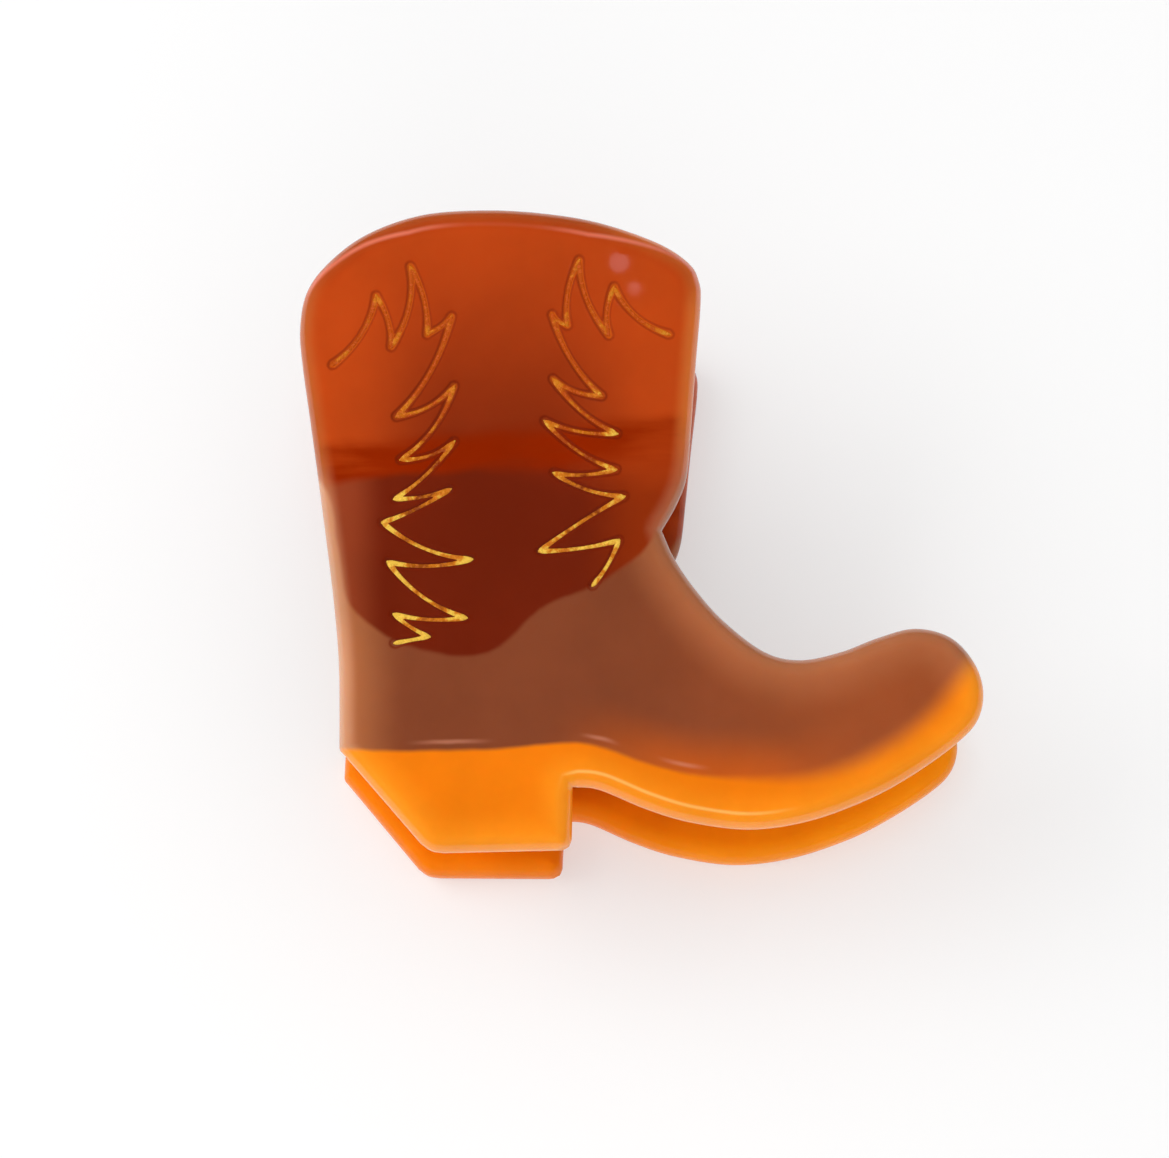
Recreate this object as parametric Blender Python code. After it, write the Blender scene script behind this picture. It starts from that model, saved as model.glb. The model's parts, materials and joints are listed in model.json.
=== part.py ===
"""Boot-shaped hair claw clip: two boot plates of laminated acetate, hinged on a steel pin.

Metres, +Z up. The rear plate lies flat on its outer face at z = 0, toe towards +X, boot top
towards +Y. The hinge axis is parallel to X, above the origin. The clip is stored closed.
"""

import math

import bmesh
import bpy
from mathutils import Matrix, Vector

MM = 0.001

# Driving dimensions, in millimetres and degrees.
PLATE_THICKNESS = 4.5
EDGE_ROUND = 1.7
EDGE_STEPS = 3
AXIS_TO_OUTER = 18.25  # hinge axis to the outer face of either plate
SPLAY = 16.0  # angle between the closed plates, boot tops apart
REAR_TWIST = -1.7  # how far the rear plate is turned in its own plane
REAR_SHIFT = (0.1, -0.3)  # and how far it sits off the front plate
SEAM_GAP = 0.3
OUTLINE_STEP = 2.4
SEAM_STEP = 3.0

STITCH_WIDTH = 0.95
STITCH_DEPTH = 0.8
STITCH_BELOW = 0.15  # gold fill lies this far below the outer face
GROOVE_SIDE = 0.12
STITCH_STEP = 2.6
TIP_REACH = 0.7

COMB_WIDTH = 2.8
COMB_HEIGHT = 1.6
COMB_STEP = 2.0
BAR_REACH = 1.6  # outer corners of the comb's bar are cut this far out
GLUE_GAP = 0.3
TOOTH_PITCH = 7.6
TOOTH_ROOT = 1.25  # half width at the root
TOOTH_TIP = 0.62
TOOTH_LENGTH = 13.4  # from the inner face
TOOTH_SIDES = 10
TOOTH_LEAN = -0.8  # the tip leans this far away from the hinge
TOOTH_SUNK = 0.4  # the root starts this far inside the bar

LUG_THICKNESS = 2.6
LUG_FOOT = 11.0
LUG_SHOULDER = 2.0
LUG_EYE = 3.6
REAR_LUG_X = 11.0
FRONT_LUG_X = 14.1
PIN_RADIUS = 1.2
PIN_CLEARANCE = 0.06
PIN_HALF_LENGTH = 17.6
PIN_SIDES = 24
COLLAR_RADIUS = 2.3
COLLAR_INNER_X = 15.75
COLLAR_OUTER_X = 17.25

WIRE_RADIUS = 0.5
COIL_RADIUS = 2.7
COIL_TURNS = 5
COIL_HALF_LENGTH = 5.6
COIL_START = 140.0  # where the front leg meets the coil, in degrees from +Y
COIL_BEYOND = 80.0  # and how far the coil turns past its whole turns
POINTS_PER_TURN = 14
LEG_REACH = 15.0
LEG_FLAT = 5.0  # length of each leg that lies along its plate

# Boot outline in the plate's own plane, the hinge at (0, 0). Each stretch is a smooth curve
# and stretches meet at corners.
OUTLINE = (
    # back of the shaft, pull edge, arched top and front of the shaft down to the ankle
    ((-17.9, -31.2), (-18.0, -22.3), (-18.6, -15.0), (-19.8, -5.6), (-21.2, 4.5),
     (-22.2, 11.5), (-22.5, 15.6), (-21.8, 19.6), (-19.5, 22.9), (-15.2, 26.2),
     (-9.2, 28.4), (-2.5, 29.0), (4.2, 28.7), (10.9, 27.6), (17.5, 25.3), (21.0, 23.0),
     (22.1, 21.0), (22.3, 18.5), (21.7, 11.2), (21.2, 4.5), (20.7, -0.9), (19.6, -4.0),
     (17.9, -7.0)),
    # instep, vamp and round toe, then back along the sole to the heel breast
    ((17.9, -7.0), (19.3, -10.1), (21.6, -13.5), (24.8, -17.1), (29.3, -20.5),
     (33.3, -21.4), (37.8, -20.5), (42.0, -18.9), (46.1, -17.9), (50.0, -18.9),
     (52.6, -21.7), (53.6, -24.9), (53.0, -28.0), (50.8, -30.5), (46.1, -33.9),
     (41.1, -36.7), (34.4, -39.2), (27.7, -40.2), (21.0, -39.4), (16.0, -37.9),
     (10.9, -35.8), (8.0, -35.5)),
    # heel block
    ((8.0, -35.5), (7.9, -41.3)),
    ((7.9, -41.3), (6.9, -42.5)),
    ((6.9, -42.5), (-6.2, -42.8)),
    ((-6.2, -42.8), (-8.6, -42.0)),
    ((-8.6, -42.0), (-17.9, -31.2)),
)

# Seams between the laminated colours, left to right.
SHAFT_SEAM = ((-24.0, -1.0), (-19.0, -4.5), (-17.6, -11.5), (-16.2, -17.0), (-12.0, -21.0),
              (-5.0, -21.7), (1.3, -18.9), (4.6, -16.6), (10.2, -14.4), (14.8, -11.0),
              (17.2, -7.2), (21.0, -5.0))
SOLE_SEAM = ((-22.0, -31.4), (-9.7, -31.6), (-1.0, -31.3), (6.8, -30.7), (12.6, -31.7),
             (17.4, -33.2), (22.3, -34.3), (31.9, -34.6), (36.9, -33.6), (41.7, -31.5),
             (46.5, -28.4), (51.0, -24.0), (56.0, -17.0))

# Zigzag stitch runs: every entry is one stroke from tip to tip, with a sideways bow.
STITCH_LEFT = (
    ((-18.7, 11.4), 0.0), ((-13.9, 19.1), 0.9), ((-12.2, 13.4), -0.5), ((-10.1, 22.4), 0.9),
    ((-8.2, 14.8), -0.6), ((-5.5, 16.8), 0.2), ((-11.6, 5.6), -0.9), ((-5.2, 9.0), 0.7),
    ((-11.1, 0.8), -0.9), ((-5.2, 2.8), 0.6), ((-11.8, -3.6), -0.5), ((-5.6, -2.5), 0.3),
    ((-13.1, -6.2), -0.3), ((-3.2, -10.3), 0.9), ((-12.5, -10.6), -0.6), ((-3.8, -16.8), 0.9),
    ((-11.8, -16.4), -0.4), ((-7.9, -18.9), 0.2), ((-11.7, -19.6), 0.0),
)
STITCH_RIGHT = (
    ((18.7, 14.8), 0.0), ((12.6, 20.1), -0.9), ((12.0, 14.7), 0.5), ((8.7, 23.1), -0.8),
    ((7.4, 15.8), 0.6), ((5.7, 17.0), -0.2), ((11.2, 7.9), 0.8), ((5.8, 9.8), -0.5),
    ((12.9, 3.7), 0.7), ((4.9, 5.1), -0.5), ((12.8, -0.3), 0.7), ((5.9, -0.7), -0.4),
    ((13.7, -3.3), 0.6), ((4.3, -9.4), 0.2), ((13.1, -8.2), 0.3), ((10.2, -13.2), -0.3),
)

# Line that the comb's teeth follow, just inside the heel and sole edges.
COMB_LINE = ((-13.6, -30.6), (-9.9, -34.8), (-5.9, -36.4), (1.8, -36.0), (6.4, -31.6),
             (13.2, -30.6), (20.2, -32.4), (27.5, -33.2), (33.8, -32.3), (40.0, -29.9),
             (45.0, -27.4), (48.4, -24.4))

ACETATE_RED = (0.30, 0.030, 0.006, 1.0)
ACETATE_BROWN = (0.24, 0.068, 0.024, 1.0)
ACETATE_AMBER = (0.86, 0.21, 0.010, 1.0)
GOLD = (0.83, 0.50, 0.11, 1.0)
STEEL = (0.60, 0.59, 0.57, 1.0)


def clear_scene():
    for obj in list(bpy.data.objects):
        bpy.data.objects.remove(obj, do_unlink=True)


def collection(name, hidden=False):
    made = bpy.data.collections.new(name)
    bpy.context.scene.collection.children.link(made)
    made.hide_render = hidden
    return made


def material(name, colour, roughness, metallic):
    made = bpy.data.materials.new(name)
    made.use_nodes = True
    shader = made.node_tree.nodes["Principled BSDF"]
    shader.inputs["Base Color"].default_value = colour
    shader.inputs["Roughness"].default_value = roughness
    shader.inputs["Metallic"].default_value = metallic
    return made


def catmull(points, step):
    """Points about a step apart on the smooth curve through the given points."""
    spots = [Vector(p) for p in points]
    if len(spots) == 2:
        count = max(1, round((spots[1] - spots[0]).length / step))
        return [spots[0].lerp(spots[1], i / count) for i in range(count + 1)]
    before = spots[0] * 2 - spots[1]
    after = spots[-1] * 2 - spots[-2]
    padded = [before, *spots, after]
    found = [spots[0]]
    for i in range(len(spots) - 1):
        a, b, c, d = padded[i:i + 4]
        count = max(1, round((c - b).length / step))
        for k in range(1, count + 1):
            t = k / count
            found.append(
                0.5 * (2 * b + (c - a) * t + (2 * a - 5 * b + 4 * c - d) * t * t
                       + (3 * b - a - 3 * c + d) * t ** 3)
            )
    return found


def outline_points():
    """The boot's closed outline."""
    found = []
    for stretch in OUTLINE:
        found += catmull(stretch, OUTLINE_STEP)[:-1]
    return found[::-1]


def offset_line(points, distance):
    """The line moved sideways, to its left for a positive distance."""
    found = []
    for i, here in enumerate(points):
        back = points[max(i - 1, 0)]
        ahead = points[min(i + 1, len(points) - 1)]
        along = (ahead - back).normalized()
        found.append(here + Vector((-along.y, along.x)) * distance)
    return found


def band_outline(points, width, reach):
    """Closed outline of a band of this width along a zigzag line, its outer tips cut at reach."""
    half = width / 2
    sides = ([], [])
    last = len(points) - 1
    for i, here in enumerate(points):
        into = (here - points[i - 1]).normalized() if i else None
        out = (points[i + 1] - here).normalized() if i < last else None
        into = into or out
        out = out or into
        turn = into.x * out.y - into.y * out.x
        n_in = Vector((-into.y, into.x))
        n_out = Vector((-out.y, out.x))
        middle = n_in + n_out
        spread = middle.length / 2
        for k, sign in enumerate((1, -1)):
            if spread > 0.8:
                sides[k].append(here + middle.normalized() * (sign * half / spread))
            elif sign * turn > 0:
                miter = middle.normalized() * (sign * half / max(spread, 0.12))
                sides[k].append(here + miter)
            else:
                tip = (into - out).normalized() * min(half / max(spread, 0.12), reach)
                sides[k].append(here + n_in * (sign * half))
                sides[k].append(here + tip)
                sides[k].append(here + n_out * (sign * half))
    return sides[1] + sides[0][::-1]


def link(name, mesh, home, mat, parent):
    obj = bpy.data.objects.new(name, mesh)
    home.objects.link(obj)
    if mat:
        mesh.materials.append(mat)
    obj.parent = parent
    return obj


def prism(outline, low, high, rounded=0.0):
    """A bmesh prism on a closed outline in the XY plane, its rims rounded if asked."""
    bm = bmesh.new()
    low, high = min(low, high), max(low, high)
    base = [bm.verts.new((p.x * MM, p.y * MM, low * MM)) for p in outline]
    floor = bm.faces.new(base)
    grown = bmesh.ops.extrude_face_region(bm, geom=[floor])
    top = [v for v in grown["geom"] if isinstance(v, bmesh.types.BMVert)]
    bmesh.ops.translate(bm, verts=top, vec=(0, 0, (high - low) * MM))
    bmesh.ops.recalc_face_normals(bm, faces=bm.faces)
    if rounded:
        middle = (low + high) / 2 * MM
        rims = [
            e for e in bm.edges
            if (e.verts[0].co.z - middle) * (e.verts[1].co.z - middle) > 0
        ]
        bmesh.ops.bevel(
            bm, geom=rims, offset=rounded * MM, segments=EDGE_STEPS, profile=0.5,
            affect="EDGES", clamp_overlap=True,
        )
    return bm


def to_mesh(bm, name):
    mesh = bpy.data.meshes.new(name)
    bmesh.ops.recalc_face_normals(bm, faces=bm.faces)
    bm.to_mesh(mesh)
    bm.free()
    return mesh


def combine(obj, other, operation):
    """Makes the Boolean result the object's own mesh."""
    modifier = obj.modifiers.new(operation.lower(), "BOOLEAN")
    modifier.operation = operation
    modifier.solver = "EXACT"
    modifier.object = other
    bpy.context.view_layer.update()
    graph = bpy.context.evaluated_depsgraph_get()
    result = bpy.data.meshes.new_from_object(obj.evaluated_get(graph))
    obj.modifiers.remove(modifier)
    obj.data = result


def stroke_bands(strokes, placed, width, reach):
    """One closed outline per stroke: a bowed band, pointed at both of its ends."""
    found = []
    for (start, _), (end, bow) in zip(strokes, strokes[1:]):
        a, b = placed((start, end))
        along = b - a
        ahead = along.normalized()
        side = Vector((ahead.y, -ahead.x))
        count = max(2, round(along.length / STITCH_STEP))
        middle = [
            a + along * (k / count) + side * (bow * 4 * (k / count) * (1 - k / count))
            for k in range(count + 1)
        ]
        half = width / 2
        edge = offset_line(middle, half)
        other = offset_line(middle, -half)
        first = (middle[1] - middle[0]).normalized() * reach
        last = (middle[-1] - middle[-2]).normalized() * reach
        found.append([a - first, *other, b + last, *edge[::-1]])
    return found


class Jaw:
    """One boot plate with its inlays, comb and hinge lugs, in the frame of the hinge axis."""

    def __init__(self, name, home, cutters, parent, side, twist, shift, lug_x):
        self.name = name
        self.home = home
        self.cutters = cutters
        self.parent = parent
        self.side = side  # +1: outer face up, -1: outer face down
        self.twist = Matrix.Rotation(math.radians(twist), 2)
        self.shift = Vector(shift)
        self.lug_x = lug_x
        self.outer = side * AXIS_TO_OUTER
        self.inner = side * (AXIS_TO_OUTER - PLATE_THICKNESS)

    def placed(self, points):
        """Points of the boot drawing where this jaw has them."""
        return [self.twist @ Vector(p) + self.shift for p in points]

    def cutter(self, label, outline, low, high):
        mesh = to_mesh(prism(outline, low, high), label)
        obj = link(f"{self.name}_{label}", mesh, self.cutters, None, self.parent)
        obj.display_type = "WIRE"
        obj.hide_render = True
        return obj

    def regions(self):
        """Outlines that part the plate into its three colours, closed well outside the boot."""
        half = SEAM_GAP / 2
        shaft = catmull(SHAFT_SEAM, SEAM_STEP)
        sole = catmull(SOLE_SEAM, SEAM_STEP)
        above = [Vector((30, 40)), Vector((-30, 40))]
        below = [Vector((-30, -50)), Vector((64, -50)), Vector((64, -17))]
        middle = offset_line(sole, half) + [Vector((60, -5))] + offset_line(shaft, -half)[::-1]
        return {
            "shaft": offset_line(shaft, half) + [Vector((30, -5))] + above,
            "vamp": middle,
            "sole": below + offset_line(sole, -half)[::-1] + [Vector((-30, -31.4))],
        }

    def panels(self, mats):
        outline = self.placed(outline_points())
        far = self.outer + self.side * 2
        near = self.inner - self.side * 2
        grooves = []
        floor = self.outer - self.side * (STITCH_DEPTH + STITCH_BELOW)
        top = self.outer - self.side * STITCH_BELOW
        for label, strokes in (("left", STITCH_LEFT), ("right", STITCH_RIGHT)):
            fill = self.run(f"stitch_{label}", strokes, STITCH_WIDTH, floor, top)
            self.cutters.objects.unlink(fill)
            self.home.objects.link(fill)
            fill.data.materials.append(mats["gold"])
            fill.hide_render = False
            fill.display_type = "TEXTURED"
            wide = STITCH_WIDTH + 2 * GROOVE_SIDE
            grooves.append(self.run(f"groove_{label}", strokes, wide,
                                    floor - self.side * GROOVE_SIDE, far - self.side))
        for label, region in self.regions().items():
            mesh = to_mesh(prism(outline, self.inner, self.outer, EDGE_ROUND), label)
            panel = link(f"{self.name}_{label}", mesh, self.home, mats[label], self.parent)
            part = self.cutter(f"{label}_region", self.placed(region), near, far)
            combine(panel, part, "INTERSECT")
            if label == "shaft":
                for groove in grooves:
                    combine(panel, groove, "DIFFERENCE")

    def run(self, label, strokes, width, low, high):
        """A zigzag run as one solid, its strokes joined one after another."""
        reach = TIP_REACH - STITCH_WIDTH / 2 + width / 2
        bands = stroke_bands(strokes, self.placed, width, reach)
        whole = self.cutter(label, bands[0], low, high)
        for i, band in enumerate(bands[1:]):
            combine(whole, self.cutter(f"{label}_{i}", band, low, high), "UNION")
        return whole

    def comb(self, mat, phase):
        line = self.placed(catmull(COMB_LINE, COMB_STEP))
        root = self.inner - self.side * GLUE_GAP
        bar_top = root - self.side * COMB_HEIGHT
        body = prism(band_outline(line, COMB_WIDTH, BAR_REACH), root, bar_top)
        comb = link(f"{self.name}_comb", to_mesh(body, "comb"), self.home, mat, self.parent)
        lengths = [0.0]
        for a, b in zip(line, line[1:]):
            lengths.append(lengths[-1] + (b - a).length)
        teeth = bmesh.new()
        along = phase * TOOTH_PITCH + TOOTH_ROOT * 0.8
        while along < lengths[-1] - TOOTH_ROOT * 0.6:
            i = max(k for k, length in enumerate(lengths) if length <= along)
            share = (along - lengths[i]) / (lengths[i + 1] - lengths[i])
            spot = line[i].lerp(line[i + 1], share)
            self.tooth(teeth, spot, root - self.side * TOOTH_SUNK)
            along += TOOTH_PITCH
        tool = link(f"{self.name}_teeth", to_mesh(teeth, "teeth"), self.cutters, None,
                    self.parent)
        tool.display_type = "WIRE"
        tool.hide_render = True
        combine(comb, tool, "UNION")

    def tooth(self, bm, spot, start):
        """A tapered round tooth standing on the plate, with a domed tip."""
        end = self.inner - self.side * TOOTH_LENGTH
        levels = ((0.0, 1.0), (0.35, 0.9), (0.7, 0.7), (0.93, 0.5), (1.0, 0.28))
        rings = []
        for share, size in levels:
            z = start + (end - start) * share
            radius = TOOTH_ROOT * size
            lean = TOOTH_LEAN * share * share
            rings.append([
                bm.verts.new((
                    (spot.x + radius * math.cos(2 * math.pi * k / TOOTH_SIDES)) * MM,
                    (spot.y + lean + radius * math.sin(2 * math.pi * k / TOOTH_SIDES)) * MM,
                    z * MM,
                ))
                for k in range(TOOTH_SIDES)
            ])
        for low, high in zip(rings, rings[1:]):
            for k in range(TOOTH_SIDES):
                n = (k + 1) % TOOTH_SIDES
                bm.faces.new((low[k], low[n], high[n], high[k]))
        bm.faces.new(rings[0])
        bm.faces.new(rings[-1])

    def lugs(self, mat):
        """Ears with an eye for the pin, standing on the plate's inner face."""
        for label, sign in (("left", -1), ("right", 1)):
            foot = AXIS_TO_OUTER - PLATE_THICKNESS - GLUE_GAP
            half = LUG_FOOT / 2
            arc = [
                Vector((LUG_EYE * math.cos(a), -LUG_EYE * math.sin(a)))
                for a in (math.pi * k / 12 for k in range(13))
            ]
            shoulder = foot - LUG_SHOULDER
            shape = [Vector((-half, foot)), Vector((-half, shoulder)), *arc[::-1],
                     Vector((half, shoulder)), Vector((half, foot))]
            body = prism(shape, -LUG_THICKNESS / 2, LUG_THICKNESS / 2)
            bmesh.ops.transform(body, matrix=self.ear_frame(), verts=body.verts)
            lug = link(f"{self.name}_lug_{label}", to_mesh(body, label), self.home, mat,
                       self.parent)
            lug.location.x = sign * self.lug_x * MM
            eye = bmesh.new()
            bmesh.ops.create_cone(
                eye, cap_ends=True, segments=PIN_SIDES, depth=2 * LUG_THICKNESS * MM,
                radius1=(PIN_RADIUS + PIN_CLEARANCE) * MM,
                radius2=(PIN_RADIUS + PIN_CLEARANCE) * MM,
                matrix=Matrix.Rotation(math.pi / 2, 4, "Y"),
            )
            tool = link(f"{self.name}_eye_{label}", to_mesh(eye, "eye"), self.cutters, None,
                        self.parent)
            tool.location = lug.location
            tool.display_type = "WIRE"
            tool.hide_render = True
            combine(lug, tool, "DIFFERENCE")

    def ear_frame(self):
        """From the ear's drawing plane (x along the plate, y towards it) to the jaw's frame."""
        return Matrix((
            (0, 0, 1, 0),
            (1, 0, 0, 0),
            (0, self.side, 0, 0),
            (0, 0, 0, 1),
        ))


def cylinder_between(radius, x0, x1, hole=0.0):
    """A round bar along X, or a collar when there is a hole."""
    bm = bmesh.new()
    rings = []
    profile = [(radius, x0), (radius, x1)]
    if hole:
        profile += [(hole, x1), (hole, x0)]
    for r, x in profile:
        rings.append([
            bm.verts.new((
                x * MM,
                r * MM * math.cos(2 * math.pi * k / PIN_SIDES),
                r * MM * math.sin(2 * math.pi * k / PIN_SIDES),
            ))
            for k in range(PIN_SIDES)
        ])
    pairs = list(zip(rings, rings[1:] + (rings[:1] if hole else [])))
    for low, high in pairs:
        for k in range(PIN_SIDES):
            n = (k + 1) % PIN_SIDES
            bm.faces.new((low[k], low[n], high[n], high[k]))
    if not hole:
        bm.faces.new(rings[0])
        bm.faces.new(rings[-1])
    return bm


def spring_points():
    """Wire path: leg on the front plate, coil round the pin, leg on the rear plate."""
    splay = math.radians(SPLAY)
    rest = AXIS_TO_OUTER - PLATE_THICKNESS - GLUE_GAP - WIRE_RADIUS
    up = Vector((0, math.cos(splay), math.sin(splay)))
    out = Vector((0, -math.sin(splay), math.cos(splay)))
    front_end = up * LEG_REACH + out * rest
    rear_end = Vector((0, LEG_REACH, -rest))
    points = []
    start = math.radians(COIL_START)
    total = 2 * math.pi * COIL_TURNS + math.radians(COIL_BEYOND)
    count = round(POINTS_PER_TURN * total / (2 * math.pi))
    for k in range(count + 1):
        t = k / count
        angle = start - total * t
        points.append(Vector((
            -COIL_HALF_LENGTH + 2 * COIL_HALF_LENGTH * t,
            COIL_RADIUS * math.cos(angle),
            COIL_RADIUS * math.sin(angle),
        )))
    first = Vector((-COIL_HALF_LENGTH, front_end.y, front_end.z))
    flat = Vector((-COIL_HALF_LENGTH, *(up * (LEG_REACH - LEG_FLAT) + out * rest).yz))
    last = Vector((COIL_HALF_LENGTH, rear_end.y, rear_end.z))
    flat_rear = Vector((COIL_HALF_LENGTH, LEG_REACH - LEG_FLAT, -rest))
    return [first, flat, *points, flat_rear, last]


def spring(home, mat, parent):
    curve = bpy.data.curves.new("torsion_spring", "CURVE")
    curve.dimensions = "3D"
    curve.bevel_depth = WIRE_RADIUS * MM
    curve.bevel_resolution = 1
    curve.use_fill_caps = True
    points = spring_points()
    run = curve.splines.new("POLY")
    run.points.add(len(points) - 1)
    for spot, point in zip(run.points, points):
        spot.co = (*(point * MM), 1.0)
    obj = bpy.data.objects.new("torsion_spring", curve)
    home.objects.link(obj)
    curve.materials.append(mat)
    obj.parent = parent


def main():
    clear_scene()
    home = collection("boot_claw_clip")
    cutters = collection("cutters", hidden=True)
    mats = {
        "shaft": material("acetate_red", ACETATE_RED, 0.12, 0.0),
        "vamp": material("acetate_brown", ACETATE_BROWN, 0.12, 0.0),
        "sole": material("acetate_amber", ACETATE_AMBER, 0.12, 0.0),
        "comb": material("acetate_comb", ACETATE_AMBER, 0.15, 0.0),
        "lug": material("acetate_lug", ACETATE_RED, 0.18, 0.0),
        "gold": material("gold_fill", GOLD, 0.25, 0.8),
        "steel": material("spring_steel", STEEL, 0.28, 1.0),
    }
    axis = bpy.data.objects.new("hinge_axis", None)
    home.objects.link(axis)
    axis.location = (0, 0, AXIS_TO_OUTER * MM)
    swing = bpy.data.objects.new("front_jaw_swing", None)
    home.objects.link(swing)
    swing.parent = axis
    swing.rotation_euler.x = math.radians(SPLAY)

    jaws = (
        (Jaw("front", home, cutters, swing, 1, 0.0, (0, 0), FRONT_LUG_X), 0.5),
        (Jaw("rear", home, cutters, axis, -1, REAR_TWIST, REAR_SHIFT, REAR_LUG_X), 0.0),
    )
    for jaw, phase in jaws:
        jaw.panels(mats)
        jaw.comb(mats["comb"], phase)
        jaw.lugs(mats["lug"])
    pin = cylinder_between(PIN_RADIUS, -PIN_HALF_LENGTH, PIN_HALF_LENGTH)
    link("hinge_pin", to_mesh(pin, "pin"), home, mats["steel"], axis)
    for label, sign in (("left", -1), ("right", 1)):
        collar = cylinder_between(COLLAR_RADIUS, sign * COLLAR_INNER_X, sign * COLLAR_OUTER_X,
                                  PIN_RADIUS + PIN_CLEARANCE / 2)
        link(f"pin_collar_{label}", to_mesh(collar, label), home, mats["steel"], axis)
    spring(home, mats["steel"], axis)


main()
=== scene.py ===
"""Looks of the boot-shaped hair claw clip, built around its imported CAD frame.

Lengths in the tables are millimetres in a jaw's own frame: x along the hinge pin towards the
toe, y along the plate towards the boot's top, z from the pin out to the plate's outer face.
"""

import json
import math

import bmesh
import bpy
import numpy as np
from mathutils import Matrix, Vector
from mathutils.geometry import delaunay_2d_cdt


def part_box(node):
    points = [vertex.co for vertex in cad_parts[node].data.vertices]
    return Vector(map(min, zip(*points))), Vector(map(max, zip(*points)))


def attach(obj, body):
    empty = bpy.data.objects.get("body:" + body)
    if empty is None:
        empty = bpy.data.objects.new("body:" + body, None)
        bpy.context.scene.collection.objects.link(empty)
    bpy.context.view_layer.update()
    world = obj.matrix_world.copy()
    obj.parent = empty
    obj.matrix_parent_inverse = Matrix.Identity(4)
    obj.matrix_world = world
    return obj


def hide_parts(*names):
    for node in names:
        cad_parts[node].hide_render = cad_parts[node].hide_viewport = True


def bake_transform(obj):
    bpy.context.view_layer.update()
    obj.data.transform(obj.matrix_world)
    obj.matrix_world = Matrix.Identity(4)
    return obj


MM = 0.001

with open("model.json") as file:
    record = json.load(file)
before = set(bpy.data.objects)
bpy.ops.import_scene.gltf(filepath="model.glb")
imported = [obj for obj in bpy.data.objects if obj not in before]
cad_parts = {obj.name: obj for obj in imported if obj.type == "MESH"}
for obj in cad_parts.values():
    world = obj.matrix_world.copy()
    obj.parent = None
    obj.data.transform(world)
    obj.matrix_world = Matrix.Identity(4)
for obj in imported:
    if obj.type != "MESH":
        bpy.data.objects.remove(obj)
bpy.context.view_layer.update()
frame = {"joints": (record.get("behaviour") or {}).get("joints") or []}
hinge = frame["joints"][0]
AXIS = Vector(hinge["pos_m"])
PLATE = (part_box("rear_sole")[1].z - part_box("rear_sole")[0].z) / MM
OUTER = AXIS.z / MM
INNER = OUTER - PLATE
SPLAY = math.radians(16.0)
REAR_TWIST = math.radians(-1.7)
REAR_SHIFT = (0.1, -0.3)

EDGE_RADIUS = 2.1
EDGE_STEPS = 9
OUTLINE_STEP = 0.55
RING_KEPT = 0.97  # rim ring points this share of their reach from the outline are kept
FILL_STEP = 0.85
FILL_ROWS = 0.87  # the fill's rows are this share of its step apart
FILL_MARGIN = 0.25  # clear space between the rounded rim and the fill

# Boot outline: smooth stretches that meet at corners.
OUTLINE = (
    ((-17.9, -31.2), (-18.0, -22.3), (-18.6, -15.0), (-19.8, -5.6), (-21.2, 4.5),
     (-22.2, 11.5), (-22.5, 15.6), (-21.8, 19.6), (-19.5, 22.9), (-15.2, 26.2),
     (-9.2, 28.4), (-2.5, 29.0), (4.2, 28.7), (10.9, 27.6), (17.5, 25.3), (21.0, 23.0),
     (22.1, 21.0), (22.3, 18.5), (21.7, 11.2), (21.2, 4.5), (20.7, -0.9), (19.6, -4.0),
     (17.9, -7.0)),
    ((17.9, -7.0), (19.3, -10.1), (21.6, -13.5), (24.8, -17.1), (29.3, -20.5),
     (33.3, -21.4), (37.8, -20.5), (42.0, -18.9), (46.1, -17.9), (50.0, -18.9),
     (52.6, -21.7), (53.6, -24.9), (53.0, -28.0), (50.8, -30.5), (46.1, -33.9),
     (41.1, -36.7), (34.4, -39.2), (27.7, -40.2), (21.0, -39.4), (16.0, -37.9),
     (10.9, -35.8), (8.0, -35.5)),
    ((8.0, -35.5), (7.9, -41.3)),
    ((7.9, -41.3), (7.6, -42.1), (6.9, -42.5)),
    ((6.9, -42.5), (-6.2, -42.8)),
    ((-6.2, -42.8), (-7.6, -42.6), (-8.8, -41.8)),
    ((-8.8, -41.8), (-17.5, -31.8)),
    ((-17.5, -31.8), (-17.8, -31.5), (-17.9, -31.2)),
)

# Where one laminated colour gives way to the next, left to right.
SHAFT_SEAM = ((-24.0, 1.5), (-19.3, -2.5), (-18.1, -8.7), (-17.3, -13.1), (-15.9, -16.3),
              (-11.4, -19.3), (-5.1, -21.2), (-1.0, -20.6), (1.6, -18.5), (4.4, -15.9),
              (10.1, -13.4), (14.6, -10.4), (17.4, -7.0), (19.4, -2.6), (21.5, 0.5),
              (25.0, 2.0))
SOLE_SEAM = ((-22.0, -31.0), (-17.5, -31.3), (-9.7, -31.6), (-1.0, -31.3), (6.8, -30.7),
             (9.7, -30.9), (12.6, -31.7), (17.4, -33.2), (22.3, -34.3), (31.9, -34.6),
             (36.9, -33.6), (41.7, -31.5), (46.5, -28.4), (50.5, -24.0), (56.0, -17.0))

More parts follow.
